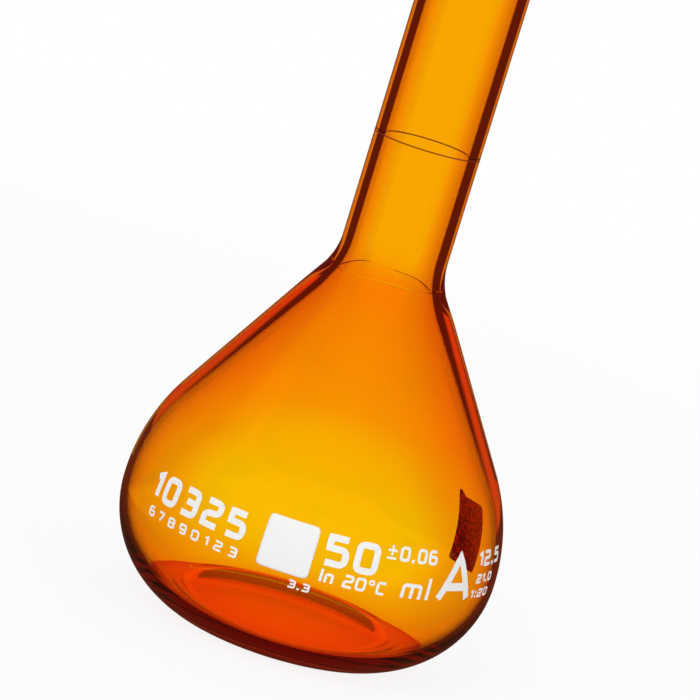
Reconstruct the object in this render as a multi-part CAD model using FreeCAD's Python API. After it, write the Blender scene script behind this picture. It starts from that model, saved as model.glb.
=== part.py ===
# Amber 50 ml volumetric flask with a lift-out stopper; mm, +Z up,
# origin at the centre of the ring the flask stands on, printed side facing -Y.
import FreeCAD, Part
import math
import os

os.makedirs("parts", exist_ok=True)

# Bulb, outside
belt_r = 24.61          # widest radius
foot_r = 13.5          # outer edge of the ring it stands on
foot_land = 1.0        # flat width of that ring
heel_r = 5.9           # round between the foot and the side
belly_low_r = 14.56    # side below the widest line
belly_up_r = 25.23      # side above the widest line
push_up = 1.8          # rise of the pushed-up base at the axis

# Glass thickness
belt_wall = 0.8
base_wall = 2.2
neck_wall = 1.37
socket_wall = 1.45
inner_heel_r = 5.3
inner_belly_low_r = 12.0  # tighter than outside: the glass thickens towards the foot
inner_belly_up_r = 21.5   # and towards the shoulder
inner_flare_r = 12.9     # longer than outside: thickest just below the neck

# Neck
neck_r = 6.85
neck_z = 51.5          # where the straight tube begins
flare_r = 7.96         # hollow round between flank and tube
seal_z = 47.45          # flame seal of bulb and neck
mark_z = 65.1          # capacity mark
mark_w = 0.18
mark_depth = 0.04
mark_proud = 0.02

# Ground socket, taper 1 in 10 on the diameter
rim_z = 140.0
gauge_r = 6.25         # large end of the ground cone
ground_len = 21.0
taper = 1 / 20         # change of radius per length
mouth_round = 0.65
socket_run_in = 2.35   # below the ground cone, to the tube's bore
rim_flat = 0.3         # between the mouth's round and the bead
bead_r = 1.4
bead_fillet = 0.8

# Stopper
stopper_gap = 0.08     # between the cone's lands and the socket
plug_len = 20.0
land_n = 4
land_h = 1.6
land_bevel = 0.3
land_step = 0.3        # cone between the lands is set back by this
core_r = 3.7           # moulding core at the open end
core_roof = 3.0        # solid above the core
collar_h = 3.5         # head stands this far above the rim
head_w = 19.0          # across flats
head_h = 9.0
head_sides = 8
head_edge = 0.9
dish_r = 6.2
dish_depth = 1.2

# Fired-on panels
ink = 0.05
panel_w = 6.5
panel_z = 16.87
panel_az = -4.2        # from -Y towards +X
code_w = 7.0
code_h = 10.3
code_z = 17.4
code_az = 120.5
panel_round = 0.9
code_round = 0.4
skin_span = 60         # degrees of the side, above and below the widest line, that a panel is cut from

# Derived places
neck_bore = neck_r - neck_wall
ground_top = rim_z - mouth_round
ground_low = ground_top - ground_len
socket_z = ground_low - socket_run_in
small_r = gauge_r - ground_len * taper
low_mid = belt_r - belly_low_r
belt_z = heel_r + math.sqrt((belly_low_r - heel_r) ** 2 - (foot_r - low_mid) ** 2)
margin = 1.0           # cutting solids reach this far past what they cut
axis = FreeCAD.Vector(0, 0, 1)
origin = FreeCAD.Vector(0, 0, 0)


def at(r, z):
    return FreeCAD.Vector(r, 0, z)


def polar(centre, radius, deg):
    a = math.radians(deg)
    return at(centre[0] + radius * math.cos(a), centre[1] + radius * math.sin(a))


def bend(centre, radius, start, end):
    mid = (start + end) / 2
    points = [polar(centre, radius, d) for d in (start, mid, end)]
    return Part.Arc(*points).toShape()


def dome(edge, top):
    # Shallow arc from a circle round the axis up to the axis
    radius = (edge.x ** 2 + (top - edge.z) ** 2) / (2 * (top - edge.z))
    start = math.degrees(math.asin(edge.x / radius))
    return bend((0, top - radius), radius, 90 - start, 90)


def spin(edges):
    wire = Part.Wire(Part.__sortEdges__(edges))
    return Part.Face(wire).revolve(origin, axis, 360)


def side(heel_c, heel, belt, low, up, flare_c, flare):
    # Heel, lower and upper belly, straight flank and flare, each tangent to the next
    low_at = (belt - low, belt_z)
    up_at = (belt - up, belt_z)
    turn = math.degrees(math.atan2(heel_c[1] - belt_z, heel_c[0] - low_at[0]))
    reach = (flare_c[0] - up_at[0], flare_c[1] - up_at[1])
    lean = math.acos((up + flare) / math.hypot(*reach))
    slope = math.degrees(math.atan2(reach[1], reach[0]) - lean)
    return [
        bend(heel_c, heel, -90, turn),
        bend(low_at, low, turn, 0),
        bend(up_at, up, 0, slope),
        Part.makeLine(polar(up_at, up, slope), polar(flare_c, flare, slope + 180)),
        bend(flare_c, flare, slope + 180, 180),
    ]


# Bulb and tube share one wall, drawn as an outside and an inside
belt_in = belt_r - belt_wall
heel_in_z = base_wall + inner_heel_r
low_in_mid = belt_in - inner_belly_low_r
foot_in = low_in_mid + math.sqrt((inner_belly_low_r - inner_heel_r) ** 2 - (belt_z - heel_in_z) ** 2)
outside = side(
    (foot_r, heel_r), heel_r, belt_r, belly_low_r,
    belly_up_r, (neck_r + flare_r, neck_z), flare_r,
)
inside = side(
    (foot_in, heel_in_z), inner_heel_r, belt_in, inner_belly_low_r,
    inner_belly_up_r, (neck_bore + inner_flare_r, neck_z), inner_flare_r,
)
foot_edge = at(foot_r - foot_land, 0)
inner_top = push_up + base_wall
wall = spin(
    outside
    + inside
    + [
        dome(foot_edge, push_up),
        Part.makeLine(foot_edge, at(foot_r, 0)),
        Part.makeLine(at(neck_r, neck_z), at(neck_r, socket_z)),
        Part.makeLine(at(neck_r, socket_z), at(neck_bore, socket_z)),
        Part.makeLine(at(neck_bore, socket_z), at(neck_bore, neck_z)),
        dome(at(foot_in, base_wall), inner_top),
        Part.makeLine(at(0, inner_top), at(0, push_up)),
    ]
)
below_seal = Part.makeCylinder(belt_r + margin, seal_z + margin, at(0, -margin))
bulb = wall.common(below_seal)
tube = wall.cut(below_seal)


def band(inner, outer, low, high):
    ring = Part.makeCylinder(outer, high - low, at(0, low))
    return ring.cut(Part.makeCylinder(inner, high - low, at(0, low)))


# The capacity mark fills a fine groove round the tube
mark = band(neck_r - mark_depth, neck_r + mark_proud, mark_z - mark_w / 2, mark_z + mark_w / 2)
tube = tube.cut(mark)

# Ground socket: cone inside, parallel wall outside, rounded bead at the rim
mouth_c = (gauge_r + mouth_round, ground_top)
bead_c = (mouth_c[0] + rim_flat, rim_z - bead_r)
waist = at(small_r + socket_wall, ground_low)
under = at(gauge_r + socket_wall - (ground_top - bead_c[1]) * taper, bead_c[1])
shell = spin([
    Part.makeLine(at(neck_bore, socket_z), at(neck_r, socket_z)),
    Part.makeLine(at(neck_r, socket_z), waist),
    Part.makeLine(waist, under),
    Part.makeLine(under, at(*bead_c)),
    Part.makeLine(at(*bead_c), at(bead_c[0], rim_z)),
    Part.makeLine(at(bead_c[0], rim_z), at(mouth_c[0], rim_z)),
    bend(mouth_c, mouth_round, 90, 180),
    Part.makeLine(at(gauge_r, ground_top), at(small_r, ground_low)),
    Part.makeLine(at(small_r, ground_low), at(neck_bore, socket_z)),
])
bead_low = rim_z - 2 * bead_r
bead = spin([
    bend(bead_c, bead_r, -90, 90),
    Part.makeLine(at(bead_c[0], rim_z), at(bead_c[0], bead_low)),
])
socket = shell.fuse(bead).removeSplitter()
crease = [e for e in socket.Edges if e.BoundBox.ZMin > bead_low and e.BoundBox.ZMax < bead_c[1]]
socket = socket.makeFillet(bead_fillet, crease)


def plug_r(z, set_back):
    return gauge_r + (z - ground_top) * taper - stopper_gap - set_back


def cone(low, high, set_back):
    return Part.makeCone(plug_r(low, set_back), plug_r(high, set_back), high - low, at(0, low))


# Stopper: hollow cone with sealing lands, and an eight-sided head to grip
head_z = rim_z + collar_h
plug_z = ground_top - plug_len
stopper = cone(plug_z, head_z, land_step)
pitch = (plug_len - land_h) / land_n
for i in range(land_n):
    low = plug_z + pitch * (i + 0.5)
    land = cone(low, low + land_h, 0)
    stopper = stopper.fuse(land.makeChamfer(land_bevel, [land.Edges[0], land.Edges[2]]))
corner_r = head_w / 2 / math.cos(math.pi / head_sides)
half = 180 / head_sides
corners = [polar((0, 0), corner_r, half * (2 * i + 1)) for i in range(head_sides)]
outline = Part.makePolygon([FreeCAD.Vector(c.x, c.z, head_z) for c in corners + corners[:1]])
head = Part.Face(outline).extrude(axis * head_h)
head = head.makeChamfer(head_edge, [e for e in head.Edges if abs(e.Vertexes[0].Z - e.Vertexes[1].Z) < 1e-6])
dish = Part.makeCylinder(dish_r, dish_depth, at(0, head_z + head_h - dish_depth))
core_top = head_z + head_h - core_roof - dish_depth
core_draft = (core_top - plug_z) * taper
core = Part.makeCone(core_r, core_r + core_draft, core_top - plug_z, at(0, plug_z))
stopper = stopper.fuse(head).cut(dish).cut(core).removeSplitter()


# Fired-on panels follow the outside of the bulb
def panel(width, height, z, az, corner):
    low_at = (low_mid, belt_z)
    up_at = (belt_r - belly_up_r, belt_z)
    skin = spin([
        bend(low_at, belly_low_r, -skin_span, 0),
        bend(up_at, belly_up_r, 0, skin_span),
        Part.makeLine(polar(up_at, belly_up_r, skin_span), polar(up_at, belly_up_r + ink, skin_span)),
        bend(up_at, belly_up_r + ink, skin_span, 0),
        bend(low_at, belly_low_r + ink, 0, -skin_span),
        Part.makeLine(polar(low_at, belly_low_r + ink, -skin_span), polar(low_at, belly_low_r, -skin_span)),
    ])
    corner_at = FreeCAD.Vector(-width / 2, -belt_r - margin, z - height / 2)
    block = Part.makeBox(width, belt_r, height, corner_at)
    across = [e for e in block.Edges if abs(e.Vertexes[0].Y - e.Vertexes[1].Y) > margin]
    block = block.makeFillet(corner, across)
    block.rotate(origin, axis, az)
    return skin.common(block)


writing = panel(panel_w, panel_w, panel_z, panel_az, panel_round)
code = panel(code_w, code_h, code_z, code_az, code_round)

pieces = {
    "bulb": bulb,
    "neck_tube": tube,
    "ground_socket": socket,
    "capacity_mark": mark,
    "writing_panel": writing,
    "code_panel": code,
    "stopper": stopper,
}
for name, shape in pieces.items():
    shape.exportStep("parts/" + name + ".step")
    box = shape.BoundBox
    span = (round(box.XLength, 2), round(box.YLength, 2), round(box.ZLength, 2))
    print(name, len(shape.Solids), shape.isValid(), round(shape.Volume, 2), span, round(box.ZMin, 2))

# Capacity to the mark
fill = spin(
    inside
    + [
        dome(at(foot_in, base_wall), inner_top),
        Part.makeLine(at(0, inner_top), at(0, mark_z)),
        Part.makeLine(at(0, mark_z), at(neck_bore, mark_z)),
        Part.makeLine(at(neck_bore, mark_z), at(neck_bore, neck_z)),
    ]
)
print("capacity to the mark, ml:", round(fill.Volume / 1000, 2))
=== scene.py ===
import bpy
import math
import numpy as np
from mathutils import Matrix, Vector


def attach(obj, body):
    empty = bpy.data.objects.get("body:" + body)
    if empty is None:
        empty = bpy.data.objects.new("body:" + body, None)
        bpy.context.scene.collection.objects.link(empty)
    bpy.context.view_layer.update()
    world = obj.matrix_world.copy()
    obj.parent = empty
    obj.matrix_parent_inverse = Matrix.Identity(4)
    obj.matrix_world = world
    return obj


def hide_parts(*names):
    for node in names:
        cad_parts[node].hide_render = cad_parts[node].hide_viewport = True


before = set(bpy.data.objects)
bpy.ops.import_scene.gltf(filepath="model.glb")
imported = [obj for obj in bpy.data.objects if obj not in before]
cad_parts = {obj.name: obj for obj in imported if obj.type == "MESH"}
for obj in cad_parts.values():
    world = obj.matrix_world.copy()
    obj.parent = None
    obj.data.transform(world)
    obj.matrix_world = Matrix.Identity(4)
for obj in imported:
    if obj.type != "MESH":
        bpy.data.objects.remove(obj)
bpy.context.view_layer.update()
scene = bpy.context.scene
scene.view_settings.view_transform = "Standard"
mm = 0.001
samePoint = 1e-6  # mm; points nearer than this count as one
white = (1.0, 1.0, 1.0)
lightTurns = dict(most=32, glossy=24, through=24)  # light runs far round the heel before it leaves the glass
scene.cycles.max_bounces = lightTurns["most"]
scene.cycles.glossy_bounces = lightTurns["glossy"]
scene.cycles.transmission_bounces = lightTurns["through"]


def linkObject(name, data):
    obj = bpy.data.objects.new(name, data)
    scene.collection.objects.link(obj)
    return obj


def arcPoints(centre, radius, start, end, count):
    # points on a circle in the (radius, height) plane between two angles in degrees
    a = np.radians(np.linspace(start, end, count))
    return np.stack([centre[0] + radius * np.cos(a), centre[1] + radius * np.sin(a)], 1)


def linePoints(a, b, count):
    # evenly spaced points from a to b
    return np.linspace(np.array(a, float), np.array(b, float), count)


def joinProfile(*parts):
    # profile pieces end to end, with repeated end points dropped
    path = np.concatenate(parts)
    keep = np.concatenate([[True], np.linalg.norm(np.diff(path, axis=0), axis=1) > samePoint])
    return path[keep]


def runLengths(path):
    # distance along a path from its start to each of its points
    return np.concatenate([[0], np.cumsum(np.linalg.norm(np.diff(path, axis=0), axis=1))])


def poleMesh(name, grid):
    # closed skin over rows of points in mm, with a quad between neighbours along and across; the first and
    # last rows lie in one point each and become poles
    n, m = grid.shape[:2]
    verts = np.concatenate([grid[1:-1].reshape(-1, 3), grid[0, :1], grid[-1, :1]]) * mm
    i, j = np.meshgrid(np.arange(n - 3), np.arange(m), indexing="ij")
    k = (j + 1) % m
    quads = np.stack([i * m + j, i * m + k, (i + 1) * m + k, (i + 1) * m + j], 2).reshape(-1, 4)
    around = np.arange(m)
    after = (around + 1) % m
    last = (n - 3) * m
    firstCap = np.stack([np.full(m, len(verts) - 2), after, around], 1)
    lastCap = np.stack([np.full(m, len(verts) - 1), last + around, last + after], 1)
    mesh = bpy.data.meshes.new(name)
    mesh.from_pydata(verts.tolist(), [], quads.tolist() + firstCap.tolist() + lastCap.tolist())
    mesh.validate()
    mesh.polygons.foreach_set("use_smooth", np.ones(len(mesh.polygons), bool))
    mesh.update()
    return mesh


def spunMesh(name, radius, height, angles):
    # each profile row is a ring: x is radius times the sine of the angle, y is minus radius times its cosine
    x = radius * np.sin(angles)
    y = -radius * np.cos(angles)
    return poleMesh(name, np.stack([x, y, height], 2))


def emptyTree(owner):
    owner.use_nodes = True
    owner.node_tree.nodes.clear()
    return owner.node_tree


def newMaterial(name):
    mat = bpy.data.materials.new(name)
    tree = emptyTree(mat)
    out = tree.nodes.new("ShaderNodeOutputMaterial")
    shader = tree.nodes.new("ShaderNodeBsdfPrincipled")
    tree.links.new(shader.outputs[0], out.inputs["Surface"])
    return mat, tree, shader


def newGroup(name, inputs, outputs):
    # node group with named sockets; gives its tree, what comes in and where results go
    tree = bpy.data.node_groups.new(name, "ShaderNodeTree")
    for label, kind in inputs.items():
        tree.interface.new_socket(label, in_out="INPUT", socket_type="NodeSocket" + kind)
    for label, kind in outputs.items():
        tree.interface.new_socket(label, in_out="OUTPUT", socket_type="NodeSocket" + kind)
    return tree, tree.nodes.new("NodeGroupInput").outputs, tree.nodes.new("NodeGroupOutput").inputs


def putIn(tree, socket, value):
    # a number or colour is set on the socket, anything else is linked to it
    if isinstance(value, (int, float)):
        socket.default_value = value
    elif isinstance(value, tuple):
        socket.default_value = (*value, 1)
    else:
        tree.links.new(value, socket)


def placeGroup(tree, group, **values):
    node = tree.nodes.new("ShaderNodeGroup")
    node.node_tree = group
    for label, value in values.items():
        putIn(tree, node.inputs[label], value)
    return node.outputs


def mathNode(tree, kind, a, b=None, clamp=False):
    node = tree.nodes.new("ShaderNodeMath")
    node.operation = kind
    node.use_clamp = clamp
    putIn(tree, node.inputs[0], a)
    if b is not None:
        putIn(tree, node.inputs[1], b)
    return node.outputs[0]


def vectorNode(tree, kind, a, b=None):
    node = tree.nodes.new("ShaderNodeVectorMath")
    node.operation = kind
    tree.links.new(a, node.inputs[0])
    if b is not None:
        node.inputs[1].default_value = b
    return node.outputs["Value" if kind == "LENGTH" else "Vector"]


def splitVector(tree, vector):
    node = tree.nodes.new("ShaderNodeSeparateXYZ")
    tree.links.new(vector, node.inputs[0])
    return node.outputs


def mixColours(tree, share, first, second):
    # first colour where the share is 0, second where it is 1
    mix = tree.nodes.new("ShaderNodeMix")
    mix.data_type = "RGBA"
    tree.links.new(share, mix.inputs[0])
    putIn(tree, mix.inputs[6], first)
    putIn(tree, mix.inputs[7], second)
    return mix.outputs[2]


def rangeNode(tree, value, ends, least=0.0, shape="SMOOTHSTEP"):
    # goes from least to 1 as the value goes from the first end to the second
    node = tree.nodes.new("ShaderNodeMapRange")
    node.interpolation_type = shape
    tree.links.new(value, node.inputs["Value"])
    node.inputs["From Min"].default_value = ends[0]
    node.inputs["From Max"].default_value = ends[1]
    node.inputs["To Min"].default_value = least
    return node.outputs["Result"]


def ownCoords(tree):
    return tree.nodes.new("ShaderNodeTexCoord").outputs["Object"]


def noiseNode(tree, coords, scale, detail):
    node = tree.nodes.new("ShaderNodeTexNoise")
    tree.links.new(coords, node.inputs["Vector"])
    putIn(tree, node.inputs["Scale"], scale)
    node.inputs["Detail"].default_value = detail
    return node.outputs["Fac"]


def bumpNode(tree, height, strength, distance):
    node = tree.nodes.new("ShaderNodeBump")
    node.inputs["Strength"].default_value = strength
    node.inputs["Distance"].default_value = distance
    tree.links.new(height, node.inputs["Height"])
    return node.outputs["Normal"]


# distances in mm, angles in degrees
shot = dict(
    distance=394.0, height=111.5, pitch=10.66, yaw=0.25, roll=17.04, lens=163.5, sensor=36.0, nearest=10.0,
)


def makeCamera():
    # looks from the printed front, a little from above, turned so that the neck leans right
    cam = linkObject("camera", bpy.data.cameras.new("camera"))
    pitch, yaw, roll = (math.radians(shot[k]) for k in ("pitch", "yaw", "roll"))
    turn = Matrix.Rotation(yaw, 3, "Z")
    ahead = turn @ Vector((0, math.cos(pitch), -math.sin(pitch)))
    right = turn @ Vector((1, 0, 0))
    up = right.cross(ahead)
    camRight = math.cos(roll) * right + math.sin(roll) * up
    camUp = math.cos(roll) * up - math.sin(roll) * right
    rot = Matrix((camRight, camUp, -ahead)).transposed().to_4x4()
    cam.matrix_world = Matrix.Translation(Vector((0, -shot["distance"], shot["height"])) * mm) @ rot
    cam.data.lens = shot["lens"]
    cam.data.sensor_width = shot["sensor"]
    cam.data.clip_start = shot["nearest"] * mm
    scene.camera = cam
    print("camera set")


makeCamera()

glass = dict(
    beltR=24.61, footR=13.5, footLand=1.0, heelR=5.9, bellyLowR=14.56, bellyUpR=25.23, pushUp=1.8,
    beltWall=0.84, baseWall=2.2, neckWall=1.37, socketWall=1.45,
    innerHeelR=5.3, innerBellyLowR=12.5, innerBellyUpR=21.5, innerFlareR=12.9,
    neckR=6.85, neckZ=51.5, flareR=7.96, sealZ=47.45, rimZ=140.0, gaugeR=6.25, groundLen=21.0, taper=0.05,
    mouthRound=0.65, socketRunIn=2.35, rimFlat=0.3, beadR=1.4, beadFrom=-38,
    underDrop=3.1, underIn=0.16, swellIn=0.18, segments=168,
)
glassRows = dict(  # points on each stretch of the profile
    base=14, foot=3, heel=44, low=72, up=40, flank=8, flare=34, tube=8, runOut=5, cone=12, swell=7, bead=18,
    rim=2, mouth=7, ground=22, runIn=4,
)
# the flame seal: crease inside, pinch outside; waves have a height, a count round the neck and a phase
seam = dict(
    depth=0.065, width=0.08, pinch=0.02, pinchWidth=0.5, closeReach=0.7, closeStep=0.05,
    uneven=((0.35, 3, 1.1), (0.20, 7, 0.0)), rise=((0.22, 2, 0.6), (0.10, 5, 2.0)), riseWidth=2.2,
)
g = glass
lowC = g["beltR"] - g["bellyLowR"]
upC = g["beltR"] - g["bellyUpR"]
beltZ = g["heelR"] + math.sqrt((g["bellyLowR"] - g["heelR"]) ** 2 - (g["footR"] - lowC) ** 2)
groundTop = g["rimZ"] - g["mouthRound"]
groundLow = groundTop - g["groundLen"]
socketZ = groundLow - g["socketRunIn"]
smallR = g["gaugeR"] - g["groundLen"] * g["taper"]
neckBore = g["neckR"] - g["neckWall"]


def closeRows(path, middle, reach, step):
    # extra points on the rising part of a profile near one height, spaced by a small step
    along = runLengths(path)
    rising = path[:, 1] > beltZ
    extra = np.interp(np.arange(middle - reach, middle + reach, step), path[rising, 1], along[rising])
    places = np.unique(np.concatenate([along, extra]))
    return np.stack([np.interp(places, along, path[:, 0]), np.interp(places, along, path[:, 1])], 1)


def domePoints(edge, top):
    # shallow arc from a circle round the axis to the axis; its radius follows from width and rise
    r, z = edge
    radius = (r ** 2 + (top - z) ** 2) / (2 * (top - z))
    start = math.degrees(math.asin(r / radius))
    return arcPoints((0, top - radius), radius, 90 - start, 90, glassRows["base"])


def sidePoints(heelC, heel, belt, low, up, neck, flare):
    # heel, lower belly, upper belly, straight flank and flare, each tangent to the next
    lowAt = (belt - low, beltZ)
    upAt = (belt - up, beltZ)
    flareC = (neck + flare, g["neckZ"])
    turn = math.degrees(math.atan2(heelC[1] - beltZ, heelC[0] - lowAt[0]))
    dr, dz = flareC[0] - upAt[0], flareC[1] - upAt[1]
    slope = math.degrees(math.atan2(dz, dr) - math.acos((up + flare) / math.hypot(dr, dz)))
    upper = arcPoints(upAt, up, 0, slope, glassRows["up"])
    neckTurn = arcPoints(flareC, flare, slope + 180, 180, glassRows["flare"])
    return joinProfile(
        arcPoints(heelC, heel, -90, turn, glassRows["heel"]),
        arcPoints(lowAt, low, turn, 0, glassRows["low"]),
        upper,
        linePoints(upper[-1], neckTurn[0], glassRows["flank"]),
        neckTurn,
    )


def glassProfile():
    # outside from the middle of the base up to the rim, then the inside back down to the base
    n = glassRows
    beltIn = g["beltR"] - g["beltWall"]
    lowIn = g["innerBellyLowR"]
    heelInZ = g["baseWall"] + g["innerHeelR"]
    footIn = beltIn - lowIn + math.sqrt((lowIn - g["innerHeelR"]) ** 2 - (beltZ - heelInZ) ** 2)
    heelC = (g["footR"], g["heelR"])
    outer = sidePoints(
        heelC, g["heelR"], g["beltR"], g["bellyLowR"], g["bellyUpR"], g["neckR"], g["flareR"]
    )
    inner = sidePoints(
        (footIn, heelInZ), g["innerHeelR"], beltIn, lowIn, g["innerBellyUpR"], neckBore, g["innerFlareR"]
    )
    inner = closeRows(inner, g["sealZ"], seam["closeReach"], seam["closeStep"])
    landR = g["footR"] - g["footLand"]
    mouthC = (g["gaugeR"] + g["mouthRound"], groundTop)
    beadC = (mouthC[0] + g["rimFlat"], g["rimZ"] - g["beadR"])
    waist = (smallR + g["socketWall"], groundLow)
    under = (g["gaugeR"] + g["socketWall"] - g["underIn"], groundTop - g["underDrop"])
    bead = arcPoints(beadC, g["beadR"], g["beadFrom"], 90, n["bead"])
    swell = linePoints(under, bead[0], n["swell"])
    swell[1:-1, 0] -= g["swellIn"] * np.sin(np.linspace(0, np.pi, n["swell"]))[1:-1]
    outside = joinProfile(
        domePoints((landR, 0), g["pushUp"])[::-1],
        linePoints((landR, 0), (g["footR"], 0), n["foot"]),
        outer,
        linePoints((g["neckR"], g["neckZ"]), (g["neckR"], socketZ), n["tube"]),
        linePoints((g["neckR"], socketZ), waist, n["runOut"]),
        linePoints(waist, under, n["cone"]),
        swell,
        bead,
        linePoints((beadC[0], g["rimZ"]), (mouthC[0], g["rimZ"]), n["rim"]),
    )
    inside = joinProfile(
        arcPoints(mouthC, g["mouthRound"], 90, 180, n["mouth"]),
        linePoints((g["gaugeR"], groundTop), (smallR, groundLow), n["ground"]),
        linePoints((smallR, groundLow), (neckBore, socketZ), n["runIn"]),
        linePoints((neckBore, socketZ), (neckBore, g["neckZ"]), n["tube"]),
        inner[::-1],
        domePoints((footIn, g["baseWall"]), g["pushUp"] + g["baseWall"]),
    )
    return joinProfile(outside, inside), len(outside)


def waves(angles, terms):
    # sum of sines round the axis
    return sum(height * np.sin(count * angles + phase) for height, count, phase in terms)


def makeGlass():
    # profile spun round the axis; near the seal the radius changes by a bell curve over the height, uneven
    # round the neck, and the height by slow waves
    path, outCount = glassProfile()
    angles = np.linspace(0, 2 * np.pi, g["segments"], endpoint=False)
    r = np.repeat(path[:, :1], len(angles), 1)
    z = np.repeat(path[:, 1:], len(angles), 1)
    outside = (np.arange(len(path)) < outCount)[:, None]
    fromSeal = z - g["sealZ"]
    crease = seam["depth"] * np.exp(-((fromSeal / seam["width"]) ** 2))
    pinch = seam["pinch"] * np.exp(-((fromSeal / seam["pinchWidth"]) ** 2))
    r += np.where(outside, -pinch, crease) * (1 + waves(angles, seam["uneven"]))
    z += waves(angles, seam["rise"]) * np.exp(-((fromSeal / seam["riseWidth"]) ** 2))
    obj = linkObject("glass_body", spunMesh("glass_body", r, z, angles))
    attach(obj, "flask")
    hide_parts("bulb", "neck_tube", "ground_socket")
    print("glass body", len(obj.data.polygons), "faces")
    return obj


glassBody = makeGlass()

# taken: share of red, green and blue lost in the glass; ground: the frosted cone inside the socket
amber = dict(
    ior=1.473, density=4000.0, taken=(0.0005, 0.078, 1.0),
    aslant=(1.0, 0.68, 0.45), aslantFrom=0.12, aslantTo=0.36,
    groundRough=0.24, groundFoot=0.3, groundHead=0.2, groundOut=0.05,
    smudge=0.012, smudgeScale=260.0, smudgeDetail=3.0, smudgeFrom=0.5,
)


def amberGlass():
    mat, tree, shader = newMaterial("amber glass")
    # the colour deepens where the wall is seen aslant, as a longer way through it does
    layer = tree.nodes.new("ShaderNodeLayerWeight")
    slant = rangeNode(tree, layer.outputs["Facing"], (amber["aslantFrom"], amber["aslantTo"]))
    tint = mixColours(tree, slant, white, amber["aslant"])
    tree.links.new(tint, shader.inputs["Base Color"])
    shader.inputs["Transmission Weight"].default_value = 1
    shader.inputs["IOR"].default_value = amber["ior"]
    volume = tree.nodes.new("ShaderNodeVolumeAbsorption")
    volume.inputs["Color"].default_value = (*[1 - t for t in amber["taken"]], 1)
    volume.inputs["Density"].default_value = amber["density"]
    out = shader.outputs[0].links[0].to_node
    tree.links.new(volume.outputs[0], out.inputs["Volume"])
    # ground zone: inside the socket, between two heights and within the bore
    coords = ownCoords(tree)
    x, y, z = splitVector(tree, coords)
    flat = tree.nodes.new("ShaderNodeCombineXYZ")
    tree.links.new(x, flat.inputs[0])
    tree.links.new(y, flat.inputs[1])
    fromAxis = vectorNode(tree, "LENGTH", flat.outputs[0])
    above = mathNode(tree, "GREATER_THAN", z, (groundLow + amber["groundFoot"]) * mm)
    below = mathNode(tree, "LESS_THAN", z, (groundTop - amber["groundHead"]) * mm)
    within = mathNode(tree, "LESS_THAN", fromAxis, (g["gaugeR"] + amber["groundOut"]) * mm)
    zone = mathNode(tree, "MULTIPLY", mathNode(tree, "MULTIPLY", above, below), within)
    ground = mathNode(tree, "MULTIPLY", zone, amber["groundRough"])
    # handled glass is never quite clean: a faint uneven haze
    smudge = noiseNode(tree, coords, amber["smudgeScale"], amber["smudgeDetail"])
    smudge = mathNode(tree, "SUBTRACT", smudge, amber["smudgeFrom"], True)
    haze = mathNode(tree, "MULTIPLY", smudge, amber["smudge"])
    tree.links.new(mathNode(tree, "ADD", ground, haze), shader.inputs["Roughness"])
    return mat


glassBody.data.materials.append(amberGlass())


def onBulb(azDeg, along, lift):
    # a point in mm from azimuth, arc length from the widest line and lift along the outward normal: the arc's
    # centre plus its lifted radius times cosine and sine of the tilt, turned round the axis by the azimuth
    up = along >= 0
    centre = np.where(up, upC, lowC)
    radius = np.where(up, g["bellyUpR"], g["bellyLowR"])
    tilt = along / radius
    r = centre + (radius + lift) * np.cos(tilt)
    z = beltZ + (radius + lift) * np.sin(tilt)
    a = np.radians(azDeg)
    return np.stack([r * np.sin(a), -r * np.cos(a), z], -1)


def alongOf(z):
    # arc length from the widest line for a height on the bulb
    radius = g["bellyUpR"] if z >= beltZ else g["bellyLowR"]
    return radius * math.asin((z - beltZ) / radius)


def radiusAt(along):
    # distance from the axis for an arc length from the widest line
    return math.hypot(*onBulb(0, np.array(along), 0)[:2])


enamel = dict(scale=2600.0, detail=4.0, thin=(0.25, 0.6), bumpStrength=0.15, bumpHeight=0.00003)


def makeEnamelGrain():
    # fine noise: its height, and how well the enamel covers, from 0 where it is thin to 1
    tree, given, result = newGroup(
        "enamel grain", {"Place": "Vector", "Scale": "Float"}, {"Cover": "Float", "Height": "Float"}
    )
    noise = noiseNode(tree, given["Place"], given["Scale"], enamel["detail"])
    tree.links.new(rangeNode(tree, noise, enamel["thin"], shape="LINEAR"), result["Cover"])
    tree.links.new(noise, result["Height"])
    return tree


enamelGrain = makeEnamelGrain()


def enamelMaterial(name, look):
    # one colour, darker by the speck share where the enamel is thin
    mat, tree, shader = newMaterial(name)
    grain = placeGroup(tree, enamelGrain, Place=ownCoords(tree), Scale=enamel["scale"])
    thin = tuple(c * (1 - look["speck"]) for c in look["colour"])
    tree.links.new(mixColours(tree, grain["Cover"], thin, look["colour"]), shader.inputs["Base Color"])
    bump = bumpNode(tree, grain["Height"], enamel["bumpStrength"], enamel["bumpHeight"])
    tree.links.new(bump, shader.inputs["Normal"])
    shader.inputs["Roughness"].default_value = look["rough"]
    shader.inputs["Alpha"].default_value = look["cover"]
    shader.inputs["Specular IOR Level"].default_value = look["gloss"]
    return mat


whiteLook = dict(colour=(0.93, 0.93, 0.92), rough=0.55, speck=0.04, cover=1.0, gloss=0.5)
whiteEnamel = enamelMaterial("white enamel", whiteLook)
patchRows = dict(out=15, around=96)  # points from the middle of a panel to its edge, and round it


def patchMesh(name, width, height, azDeg, z, power, lift, thick):
    # rounded rectangle in polar form: share of the way out times the edge distance, laid on the bulb,
    # front and back
    share = np.linspace(0, 1, patchRows["out"])[:, None]
    turn = np.linspace(0, 2 * np.pi, patchRows["around"], endpoint=False)
    wide = np.abs(np.cos(turn) * 2 / width) ** power
    tall = np.abs(np.sin(turn) * 2 / height) ** power
    edge = (wide + tall) ** (-1 / power)
    middle = alongOf(z)
    az = azDeg + np.degrees(share * edge * np.cos(turn) / radiusAt(middle))
    along = middle + share * edge * np.sin(turn)
    front = onBulb(az, along, lift + thick)
    back = onBulb(az, along, lift)
    return poleMesh(name, np.concatenate([back, front[::-1]]))


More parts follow.
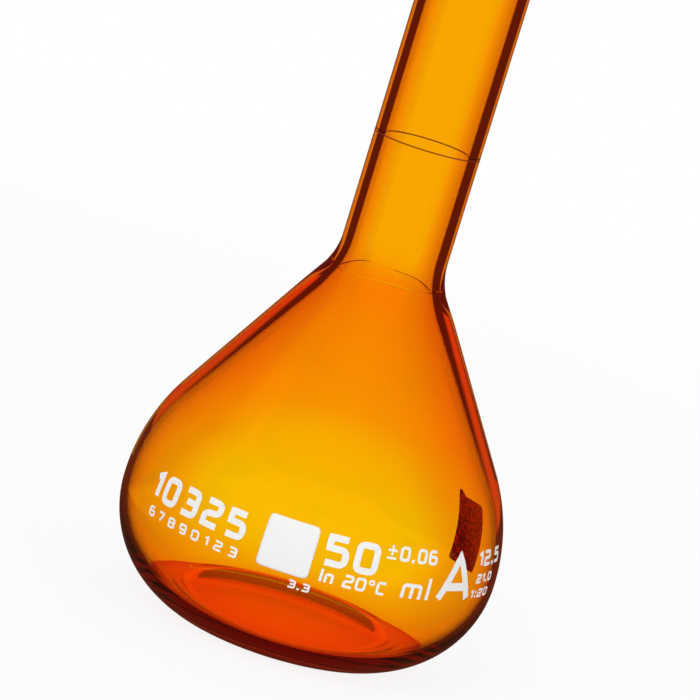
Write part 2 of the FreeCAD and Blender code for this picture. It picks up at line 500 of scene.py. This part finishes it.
panelPlace = dict(width=6.5, height=6.5, azDeg=-4.2, z=16.87, power=14, lift=0.012, thick=0.038)
panel = linkObject("writing_panel_enamel", patchMesh("writing_panel_enamel", **panelPlace))
panel.data.materials.append(whiteEnamel)
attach(panel, "flask")
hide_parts("writing_panel")

codePlace = dict(width=7.0, height=10.3, azDeg=120.5, z=17.4, power=22, lift=0.012, thick=0.038)
codePanel = linkObject("code_panel_enamel", patchMesh("code_panel_enamel", **codePlace))
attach(codePanel, "flask")
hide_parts("code_panel")

codeLook = dict(
    cells=2800.0, jumble=0.75, share=0.55, dark=(0.32, 0.010, 0.007), light=(0.95, 0.11, 0.06),
    rough=0.5, gloss=0.12,
)


def codeMaterial():
    # small cells of two browns, like any printed code but spelling nothing
    mat, tree, shader = newMaterial("code enamel")
    cells = tree.nodes.new("ShaderNodeTexVoronoi")
    cells.inputs["Scale"].default_value = codeLook["cells"]
    cells.inputs["Randomness"].default_value = codeLook["jumble"]
    tree.links.new(ownCoords(tree), cells.inputs["Vector"])
    split = tree.nodes.new("ShaderNodeSeparateColor")
    tree.links.new(cells.outputs["Color"], split.inputs[0])
    ramp = tree.nodes.new("ShaderNodeValToRGB")
    ramp.color_ramp.interpolation = "CONSTANT"
    ramp.color_ramp.elements[0].color = (*codeLook["dark"], 1)
    ramp.color_ramp.elements[1].color = (*codeLook["light"], 1)
    ramp.color_ramp.elements[1].position = codeLook["share"]
    tree.links.new(split.outputs[0], ramp.inputs[0])
    tree.links.new(ramp.outputs[0], shader.inputs["Base Color"])
    shader.inputs["Roughness"].default_value = codeLook["rough"]
    shader.inputs["Specular IOR Level"].default_value = codeLook["gloss"]
    return mat


codePanel.data.materials.append(codeMaterial())
print("enamel panels", len(panel.data.polygons) + len(codePanel.data.polygons), "faces")

# signs in a cell one high: cell width, weight of the stroke, and strokes as corner points, with whether
# each stroke closes on itself; a third number 0 keeps a corner sharp
strokes = {
    "0": (0.62, 1, [([(0, 0), (0.62, 0), (0.62, 1), (0, 1)], True)]),
    "1": (0.26, 1, [([(0, 0.80), (0.26, 1, 0), (0.26, 0)], False)]),
    "2": (0.62, 1, [([(0, 1), (0.62, 1), (0.62, 0.54), (0, 0.46), (0, 0, 0), (0.62, 0)], False)]),
    "3": (0.62, 1, [([(0, 1), (0.62, 1), (0.62, 0), (0, 0)], False), ([(0.14, 0.52), (0.62, 0.52)], False)]),
    "5": (0.62, 1, [([(0.60, 1), (0.03, 1, 0), (0.03, 0.58, 0), (0.62, 0.58), (0.62, 0), (0, 0)], False)]),
    "6": (0.62, 1, [([(0.56, 1), (0, 1), (0, 0), (0.62, 0), (0.62, 0.56), (0, 0.56, 0)], False)]),
    "7": (0.6, 1, [([(0, 1), (0.6, 1, 0), (0.2, 0)], False)]),
    "8": (0.62, 1, [([(0, 0), (0.62, 0), (0.62, 1), (0, 1)], True), ([(0, 0.52), (0.62, 0.52)], False)]),
    "9": (0.62, 1, [([(0.06, 0), (0.62, 0), (0.62, 1), (0, 1), (0, 0.44), (0.62, 0.44, 0)], False)]),
    "+-": (0.74, 0.72, [
        ([(0.37, 0.24), (0.37, 1.06)], False),
        ([(0, 0.65), (0.74, 0.65)], False),
        ([(0, 0), (0.74, 0)], False),
    ]),
    ".": (0.1, 1.1, [([(-0.06, 0), (0.16, 0)], False)]),
    ":": (0.1, 1.1, [([(-0.04, 0.1), (0.14, 0.1)], False), ([(-0.04, 0.72), (0.14, 0.72)], False)]),
    "I": (0.0, 1, [([(0, -0.08), (0, 1.08)], False)]),
    "n": (0.5, 1, [([(0, -0.08), (0, 0.7), (0.5, 0.7), (0.5, -0.08)], False)]),
    "o": (0.34, 0.62, [([(0, 0.66), (0.34, 0.66), (0.34, 1.04), (0, 1.04)], True)]),
    "C": (0.58, 1, [([(0.60, 1), (0, 1), (0, 0), (0.60, 0)], False)]),
    "m": (0.72, 1, [
        ([(0, -0.08), (0, 0.62), (0.36, 0.62), (0.36, -0.08)], False),
        ([(0.3, 0.62), (0.72, 0.62), (0.72, -0.08)], False),
    ]),
    "l": (0.0, 1, [([(0, -0.08), (0, 1.08)], False)]),
    "A": (0.78, 1, [
        ([(0, -0.03), (0.39, 1, 0), (0.78, -0.03)], False),
        ([(0.12, 0.26), (0.66, 0.26)], False),
    ]),
    " ": (0.2, 1, []),
}
# each mark: signs, azimuths of its ends, heights of its foot and top, stroke width in mm, gap between signs
marks = [
    (["5", "0"], (5.8, 22.2), (15.95, 19.85), 0.82, 0.40),
    (["+-", "0", ".", "0", "6"], (23.8, 41.7), (18.37, 20.17), 0.37, 0.40),
    (["I", "n", " ", "2", "0", "o", "C"], (6.6, 26.4), (13.85, 15.52), 0.33, 0.36),
    (["m", "l"], (31.4, 41.2), (13.95, 16.75), 0.46, 0.34),
    (["A"], (44.0, 59.4), (13.90, 20.20), 1.02, 0.3),
    (["1", "2", ".", "5"], (61.6, 78.0), (18.10, 20.10), 0.44, 0.36),
    (["2", "1", ".", "0"], (62.0, 73.0), (16.00, 17.20), 0.30, 0.36),
    (["1", ":", "2", "0"], (60.4, 72.0), (14.10, 15.25), 0.27, 0.36),
    (["3", ".", "3"], (-1.4, 5.0), (12.05, 13.10), 0.22, 0.36),
    (["1", "0", "3", "2", "5"], (-54.0, -17.2), (15.40, 19.00), 0.78, 0.46),
    (["6", "7", "8", "9", "0", "1", "2", "3"], (-52.0, -17.6), (13.20, 14.50), 0.27, 0.75),
]
# bend: radius of a corner in stroke widths, at most bendShare of a run; over: lift of a sign's next stroke
ink = dict(
    bend=0.95, bendShare=0.48, bendPoints=9, step=0.22, same=1e-4, atCorner=1e-3, clear=0.02, mitre=1.25,
    lift=0.015, over=0.004, thick=0.035,
)


def roundedPath(points, closed, radius, half):
    # straight runs joined by curves: a corner is a quadratic curve between points one radius away from it,
    # or is left sharp, and then no other point lies nearer to it than the inner mitre reaches
    pts = [np.array(q[:2], float) for q in points]
    n = len(pts)
    t = np.linspace(0, 1, ink["bendPoints"])[:, None]
    out = []
    sharp = []
    for i, corner in enumerate(pts):
        if not closed and i in (0, n - 1):
            out.append(corner[None])
            continue
        before, after = pts[i - 1] - corner, pts[(i + 1) % n] - corner
        run, nextRun = np.linalg.norm(before), np.linalg.norm(after)
        if len(points[i]) > 2:
            bend = np.dot(before, after) / run / nextRun
            sharp.append((sum(map(len, out)), half * math.sqrt((1 + bend) / (1 - bend))))
            out.append(corner[None])
            continue
        a = corner + before / run * min(radius, run * ink["bendShare"])
        b = corner + after / nextRun * min(radius, nextRun * ink["bendShare"])
        out.append((1 - t) ** 2 * a + 2 * t * (1 - t) * corner + t ** 2 * b)
    path = np.concatenate(out + ([out[0][:1]] if closed else []))
    along = runLengths(path)
    places = np.unique(np.concatenate([along, np.arange(0, along[-1], ink["step"])]))
    places = places[np.concatenate([[True], np.diff(places) > ink["same"]])]
    for index, reach in sharp:
        off = np.abs(places - along[index])
        places = places[(off > reach + ink["clear"]) | (off < ink["atCorner"])]
    return np.stack([np.interp(places, along, path[:, k]) for k in (0, 1)], 1)


def ribbon(path, closed, width, lift):
    # flat band along a path on the bulb: each point moved half a width to both sides along the mitre of its
    # two runs, once below and once above, with the ends closed
    ahead = np.diff(path, axis=0)
    side = np.stack([-ahead[:, 1], ahead[:, 0]], 1) / np.linalg.norm(ahead, axis=1)[:, None]
    before = np.concatenate([side[-1:] if closed else side[:1], side])
    after = np.concatenate([side, side[:1] if closed else side[-1:]])
    mitre = (before + after) / (1 + np.sum(before * after, 1))[:, None]
    cap = np.minimum(1, ink["mitre"] / np.linalg.norm(mitre, axis=1))[:, None]
    leftTurn = (before[:, 0] * after[:, 1] - before[:, 1] * after[:, 0] > 0)[:, None]
    left = path + mitre * np.where(leftTurn, 1, cap) * width / 2
    right = path - mitre * np.where(leftTurn, cap, 1) * width / 2
    edges = np.stack([right, left, left, right], 1)
    lifts = lift + ink["thick"] * np.array([0, 0, 1, 1])
    if closed:
        edges = edges[:-1]
    n = len(edges)
    i, j = np.meshgrid(np.arange(n if closed else n - 1), np.arange(4), indexing="ij")
    k, m = (i + 1) % n, (j + 1) % 4
    faces = np.stack([i * 4 + m, k * 4 + m, k * 4 + j, i * 4 + j], 2).reshape(-1, 4)
    if not closed:
        lastEnd = n * 4 - 4 + np.arange(4)
        faces = np.concatenate([faces, [np.arange(4)[::-1], lastEnd]])
    return edges.reshape(-1, 2), np.tile(lifts, n), faces


def printMarks():
    # every sign is a few ribbons, scaled to the ends of its mark and laid round the bulb
    allVerts = []
    allFaces = []
    start = 0
    for signs, (az0, az1), (z0, z1), width, gap in marks:
        s0, s1 = alongOf(z0) + width / 2, alongOf(z1) - width / 2
        rHere = radiusAt((s0 + s1) / 2)
        x0 = math.radians(az0) * rHere + width / 2
        span = math.radians(az1 - az0) * rHere - width
        total = sum(strokes[c][0] for c in signs) + gap * (len(signs) - 1)
        scale = span / total
        pen = 0.0
        for c in signs:
            cell, weight, lines = strokes[c]
            for order, (points, closed) in enumerate(lines):
                pts = [(x0 + (pen + q[0]) * scale, s0 + q[1] * (s1 - s0), *q[2:]) for q in points]
                path = roundedPath(pts, closed, width * ink["bend"], width * weight / 2)
                flat, lifts, faces = ribbon(path, closed, width * weight, ink["lift"] + ink["over"] * order)
                allVerts.append(onBulb(np.degrees(flat[:, 0] / rHere), flat[:, 1], lifts) * mm)
                allFaces.append(faces + start)
                start += len(flat)
            pen += cell + gap
    mesh = bpy.data.meshes.new("capacity_print")
    mesh.from_pydata(np.concatenate(allVerts).tolist(), [], np.concatenate(allFaces).tolist())
    mesh.validate()
    obj = linkObject("capacity_print", mesh)
    mesh.materials.append(whiteEnamel)
    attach(obj, "flask")
    print("print", len(mesh.polygons), "faces")


printMarks()

# the capacity mark keeps its CAD shape
stain = dict(colour=(0.30, 0.035, 0.004), rough=0.7, speck=0.5, cover=0.6, gloss=0.2)
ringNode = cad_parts["capacity_mark"]
ringNode.data.materials.clear()
ringNode.data.materials.append(enamelMaterial("brown stain", stain))
print("capacity mark stained")

plug = dict(
    gap=0.08, plugLen=20.0, lands=4, landH=1.6, bevel=0.3, step=0.3, coreR=3.7, coreRoof=3.0, collarH=3.5,
    headW=19.0, headH=9.0, edge=0.9, dishR=6.2, dishDepth=1.2, dishRound=0.5, lipRound=0.35, lipOut=0.9,
    collarRound=0.6, collarOut=0.9, tipRound=0.4, coreRound=0.6, coreIn=0.02, roofIn=0.1, corner=1.062,
    sides=8, landRise=(0.15, 0.0, -0.1), landBack=(0.2, 0.05, 0.0), segments=192,
)
plugRows = dict(  # points on each stretch of the profile
    dish=6, dishRound=5, lip=5, top=4, edge=8, flat=8, under=3, collar=6, tip=5, core=10, coreRound=5, roof=5,
)


def makeStopper():
    # profile from the middle of the dish over the head, down the plug and up the hollow core, spun round the
    # axis; the head's radius is divided by the cosine of the angle from the nearest flat's middle, with the
    # corners cut back
    p = plug
    n = plugRows
    headZ = g["rimZ"] + p["collarH"]
    topZ = headZ + p["headH"]
    plugZ = groundTop - p["plugLen"]
    dishZ = topZ - p["dishDepth"]
    half, e = p["headW"] / 2, p["edge"]
    dish, lip, tip, core = p["dishRound"], p["lipRound"], p["tipRound"], p["coreRound"]

    def coneR(z, back):
        # radius of the socket's cone at a height, less the gap and a set-back
        return g["gaugeR"] + (z - groundTop) * g["taper"] - p["gap"] - back

    collarR = coneR(headZ, p["step"])
    head = joinProfile(
        linePoints((0, dishZ), (p["dishR"] - dish, dishZ), n["dish"]),
        arcPoints((p["dishR"] - dish, dishZ + dish), dish, -90, 0, n["dishRound"]),
        arcPoints((p["dishR"] + lip, topZ - lip), lip, 180, 90, n["lip"]),
    )
    flats = joinProfile(
        linePoints((p["dishR"] + p["lipOut"], topZ), (half - e, topZ), n["top"]),
        arcPoints((half - e, topZ - e), e, 90, 0, n["edge"]),
        linePoints((half, topZ - e), (half, headZ + e), n["flat"]),
        arcPoints((half - e, headZ + e), e, 0, -90, n["edge"]),
        linePoints((half - e, headZ), (collarR + p["collarOut"], headZ), n["under"]),
    )
    collarC = (collarR + p["collarRound"], headZ - p["collarRound"])
    collar = arcPoints(collarC, p["collarRound"], 90, 180, n["collar"])
    # the lands from the top one down, each with the same eight points mirrored about its middle
    pitch = (p["plugLen"] - p["landH"]) / p["lands"]
    lows = plugZ + pitch * (np.arange(p["lands"])[::-1, None] + 0.5)
    rise = np.array([*p["landRise"], -p["bevel"]])
    back = np.array([p["step"], *p["landBack"]])
    landZ = np.concatenate([lows + p["landH"] + rise, lows - rise[::-1]], 1).ravel()
    landR = coneR(landZ, np.tile(np.concatenate([back, back[::-1]]), p["lands"]))
    tipR = coneR(plugZ, p["step"])
    coreTop = dishZ - p["coreRoof"]
    coreWide = p["coreR"] + (coreTop - plugZ) * g["taper"]
    hollow = [
        arcPoints((tipR - tip, plugZ + tip), tip, 0, -90, n["tip"]),
        arcPoints((p["coreR"] + tip, plugZ + tip), tip, -90, -180, n["tip"]),
        linePoints((p["coreR"] + p["coreIn"], plugZ + core), (coreWide, coreTop - core), n["core"]),
        arcPoints((coreWide - core, coreTop - core), core, 0, 90, n["coreRound"]),
        linePoints((coreWide - core - p["roofIn"], coreTop), (0, coreTop), n["roof"]),
    ]
    path = joinProfile(head, flats, collar, np.stack([landR, landZ], 1), *hollow)
    angles = np.linspace(0, 2 * np.pi, p["segments"], endpoint=False)
    side = 2 * np.pi / p["sides"]
    fold = np.abs((angles + side / 2) % side - side / 2)
    octagon = np.minimum(1 / np.cos(fold), p["corner"])
    share = np.zeros((len(path), 1))
    share[len(head):len(head) + len(flats)] = 1
    r = path[:, :1] * (1 + share * (octagon - 1))
    z = np.repeat(path[:, 1:], len(angles), 1)
    mesh = spunMesh("stopper_moulding", r[::-1], z[::-1], angles)
    obj = linkObject("stopper_moulding", mesh)
    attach(obj, "stopper")
    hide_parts("stopper")
    print("stopper", len(mesh.polygons), "faces")
    return obj


stopper = makeStopper()

moulding = dict(
    darkest=(0.80, 0.81, 0.80), palest=(0.88, 0.89, 0.88), cloudScale=140.0, cloudDetail=3.0,
    grainScale=5200.0, grainDetail=2.0, rough=0.34, grainRough=0.16, bumpStrength=0.2, bumpHeight=0.00004,
    milky=0.25, milkyReach=(0.004, 0.004, 0.004),
)


def polyethylene():
    # milky white in slow clouds, with a fine grain in gloss and height
    mat, tree, shader = newMaterial("natural polyethylene")
    coords = ownCoords(tree)
    cloud = noiseNode(tree, coords, moulding["cloudScale"], moulding["cloudDetail"])
    colour = mixColours(tree, cloud, moulding["darkest"], moulding["palest"])
    tree.links.new(colour, shader.inputs["Base Color"])
    grain = noiseNode(tree, coords, moulding["grainScale"], moulding["grainDetail"])
    rough = mathNode(tree, "MULTIPLY", grain, moulding["grainRough"])
    tree.links.new(mathNode(tree, "ADD", rough, moulding["rough"]), shader.inputs["Roughness"])
    bump = bumpNode(tree, grain, moulding["bumpStrength"], moulding["bumpHeight"])
    tree.links.new(bump, shader.inputs["Normal"])
    shader.inputs["Subsurface Weight"].default_value = moulding["milky"]
    shader.inputs["Subsurface Radius"].default_value = moulding["milkyReach"]
    return mat


stopper.data.materials.append(polyethylene())

# pairs are where a soft edge starts and ends: gold and red sides as parts of a direction along y, redNear
# and paperEdge in metres from the axis, redLow as height in the sky, stripSoft in half widths of a strip
stage = dict(
    floorSize=4.0, floorColour=0.95, glow=0.88, paperEdge=(0.125, 0.5), skyLevel=0.5,
    # the dark colour is painted shade, and the gold and red glows are painted reflections, met only by light
    # turned inside the glass
    paintedDarkShade=(0.12, 0.03, 0.015), paintedGoldGlow=(1.0, 0.36, 0.03), paintedRedGlow=(1.0, 0.28, 0.02),
    goldSide=(-0.35, -0.65), redSide=(0.84, 0.93), redNear=(0.09, 0.07), redLow=(0.42, 0.30),
    stripHalf=0.026, stripSpread=0.21, stripSoft=(1.25, 0.85), stripLeast=0.001,
    # painted amber shadow under the foot, seen through the glass: its oval, and its colours in the middle and
    # at the edge
    underEdge=0.0193, underSoft=0.0006, underOval=(1.06, 0.80, 1.0), underShift=(0.0, 0.002, 0.0),
    paintedShadowTint=(1.0, 0.34, 0.01), paintedShadowEdgeTint=(0.60, 0.06, 0.003), ringPower=4.0,
)
# compass of each white strip, a gap in the painted shade that shows as a bright line in the glass, counted
# from +X towards +Y, and where it starts
floorStrips = {94: 0.09, 184: 0.05, 319: 0.09}
skyStrips = {184: 0.0}


def rayKinds(tree):
    # eye: sent by the camera, a reflection or a refraction; turned: reflected at least once;
    # inside: has been through glass; once: has been through glass and was reflected once at most.
    # The depths are whole counts, so they are compared with halves
    path = tree.nodes.new("ShaderNodeLightPath").outputs
    eye = mathNode(tree, "MAXIMUM", path["Is Camera Ray"], path["Is Glossy Ray"])
    eye = mathNode(tree, "MAXIMUM", eye, path["Is Transmission Ray"])
    turned = mathNode(tree, "GREATER_THAN", path["Glossy Depth"], 0.5)
    inside = mathNode(tree, "GREATER_THAN", path["Transmission Depth"], 0.5)
    once = mathNode(tree, "MULTIPLY", inside, mathNode(tree, "LESS_THAN", path["Glossy Depth"], 1.5))
    return dict(eye=eye, turned=turned, inside=inside, once=once)


def makeWhiteStrip():
    # 1 on a strip that runs out from the flask: sideways distance less than half a width, which grows with
    # distance
    ends = {"Place": "Vector", "Cosine": "Float", "Sine": "Float", "Start": "Float"}
    tree, given, result = newGroup("white strip", ends, {"Mask": "Float"})
    x, y = splitVector(tree, given["Place"])[:2]
    xCosine = mathNode(tree, "MULTIPLY", x, given["Cosine"])
    yCosine = mathNode(tree, "MULTIPLY", y, given["Cosine"])
    xSine = mathNode(tree, "MULTIPLY", x, given["Sine"])
    ySine = mathNode(tree, "MULTIPLY", y, given["Sine"])
    along = mathNode(tree, "ADD", xCosine, ySine)
    across = mathNode(tree, "SUBTRACT", yCosine, xSine)
    half = mathNode(tree, "MULTIPLY", along, stage["stripSpread"])
    half = mathNode(tree, "ADD", half, stage["stripHalf"])
    half = mathNode(tree, "MAXIMUM", half, stage["stripLeast"])
    share = mathNode(tree, "DIVIDE", mathNode(tree, "ABSOLUTE", across), half)
    forward = mathNode(tree, "GREATER_THAN", along, given["Start"])
    mask = mathNode(tree, "MULTIPLY", rangeNode(tree, share, stage["stripSoft"]), forward)
    tree.links.new(mask, result["Mask"])
    return tree


def makePaintedShadeAndGlow():
    # white, but light turned aside meets painted shade, a dark warm colour; only light turned once at most in
    # the glass meets the strips, where the painted shade leaves white, a painted gold glow in front, on the
    # camera's side, and a painted red glow behind, both painted reflections in the glass
    ends = {"Place": "Vector", "Strips": "Float", "Rear": "Float", "Turned": "Float", "Once": "Float"}
    tree, given, result = newGroup("painted shade and glow", ends, {"Colour": "Color"})
    strips = mathNode(tree, "MULTIPLY", given["Strips"], given["Once"])
    dark = mathNode(tree, "MULTIPLY", mathNode(tree, "SUBTRACT", 1.0, strips), given["Turned"])
    ahead = splitVector(tree, vectorNode(tree, "NORMALIZE", given["Place"]))[1]
    front = mathNode(tree, "MULTIPLY", rangeNode(tree, ahead, stage["goldSide"]), given["Once"])
    sides = mixColours(tree, front, stage["paintedDarkShade"], stage["paintedGoldGlow"])
    behind = mathNode(tree, "MULTIPLY", rangeNode(tree, ahead, stage["redSide"]), given["Rear"])
    behind = mathNode(tree, "MULTIPLY", behind, given["Once"])
    sides = mixColours(tree, behind, sides, stage["paintedRedGlow"])
    tree.links.new(mixColours(tree, dark, white, sides), result["Colour"])
    return tree


whiteStrip = makeWhiteStrip()
paintedShadeAndGlow = makePaintedShadeAndGlow()


def setAround(tree, coords, rays, strips, rear):
    # what the set shows in a place: the brightest of its strips, and the painted shade and glow
    mask = None
    for compass, start in strips.items():
        turn = math.radians(compass)
        c, s = math.cos(turn), math.sin(turn)
        strip = placeGroup(tree, whiteStrip, Place=coords, Cosine=c, Sine=s, Start=start)
        mask = strip["Mask"] if mask is None else mathNode(tree, "MAXIMUM", mask, strip["Mask"])
    around = placeGroup(
        tree, paintedShadeAndGlow, Place=coords, Strips=mask, Rear=rear, Turned=rays["turned"], Once=rays["once"]
    )
    return around["Colour"]


def makeFloor():
    h = stage["floorSize"]
    mesh = bpy.data.meshes.new("floor")
    mesh.from_pydata([(-h, -h, 0), (h, -h, 0), (h, h, 0), (-h, h, 0)], [], [(0, 1, 2, 3)])
    obj = linkObject("floor", mesh)
    mat = bpy.data.materials.new("floor paper")
    tree = emptyTree(mat)
    out = tree.nodes.new("ShaderNodeOutputMaterial")
    paper = tree.nodes.new("ShaderNodeBsdfDiffuse")
    paper.inputs["Color"].default_value = (*[stage["floorColour"]] * 3, 1)
    glow = tree.nodes.new("ShaderNodeEmission")
    rays = rayKinds(tree)
    coords = ownCoords(tree)
    fromAxis = vectorNode(tree, "LENGTH", coords)
    # under the foot, in an oval, a painted amber shadow for light through the glass: the colour of paper lit
    # only by light that has come through the glass, darker and redder towards the oval's edge
    oval = vectorNode(tree, "ADD", coords, stage["underShift"])
    oval = vectorNode(tree, "DIVIDE", oval, stage["underOval"])
    oval = vectorNode(tree, "LENGTH", oval)
    under = rangeNode(tree, oval, (stage["underEdge"], stage["underEdge"] - stage["underSoft"]))
    below = mathNode(tree, "MULTIPLY", under, rays["once"])
    ring = mathNode(tree, "DIVIDE", oval, stage["underEdge"])
    ring = mathNode(tree, "POWER", ring, stage["ringPower"], True)
    tint = mixColours(tree, ring, stage["paintedShadowTint"], stage["paintedShadowEdgeTint"])
    around = setAround(tree, coords, rays, floorStrips, rangeNode(tree, fromAxis, stage["redNear"]))
    tree.links.new(mixColours(tree, below, around, tint), glow.inputs["Color"])
    # far off, and for light turned aside or seen through glass, the paper only glows: the painted shade stays
    # dark
    far = rangeNode(tree, fromAxis, stage["paperEdge"], stage["glow"])
    share = mathNode(tree, "MAXIMUM", far, mathNode(tree, "MAXIMUM", rays["turned"], rays["inside"]))
    mix = tree.nodes.new("ShaderNodeMixShader")
    tree.links.new(mathNode(tree, "MULTIPLY", share, rays["eye"]), mix.inputs[0])
    tree.links.new(paper.outputs[0], mix.inputs[1])
    tree.links.new(glow.outputs[0], mix.inputs[2])
    tree.links.new(mix.outputs[0], out.inputs["Surface"])
    mesh.materials.append(mat)


def makeWorld():
    # the set, with its painted shade and glow, for rays that reach the eye, an even grey for the light on the
    # object
    world = bpy.data.worlds.new("studio")
    scene.world = world
    tree = emptyTree(world)
    out = tree.nodes.new("ShaderNodeOutputWorld")
    sky = tree.nodes.new("ShaderNodeBackground")
    rays = rayKinds(tree)
    coords = tree.nodes.new("ShaderNodeTexCoord").outputs["Generated"]
    low = rangeNode(tree, splitVector(tree, coords)[2], stage["redLow"])
    around = setAround(tree, coords, rays, skyStrips, low)
    grey = (stage["skyLevel"],) * 3
    tree.links.new(mixColours(tree, rays["eye"], grey, around), sky.inputs["Color"])
    tree.links.new(sky.outputs[0], out.inputs["Surface"])


lampAim = (0, 0, 0.05)
lamps = dict(
    key=dict(place=(-0.35, -0.75, 0.75), size=0.6, power=4.6),
    fill=dict(place=(0.6, -0.5, 0.5), size=0.5, power=1.4),
    back=dict(place=(0.3, 0.8, 0.8), size=0.6, power=1.8),
)


def makeLamps():
    for name, lamp in lamps.items():
        light = bpy.data.lights.new(name, "AREA")
        light.size = lamp["size"]
        light.energy = lamp["power"]
        obj = linkObject(name, light)
        obj.location = lamp["place"]
        obj.rotation_euler = (Vector(lampAim) - Vector(lamp["place"])).to_track_quat("-Z", "Y").to_euler()
        obj.visible_camera = False
        obj.visible_glossy = False
        obj.visible_transmission = False


makeFloor()
makeWorld()
makeLamps()
print("stage set")
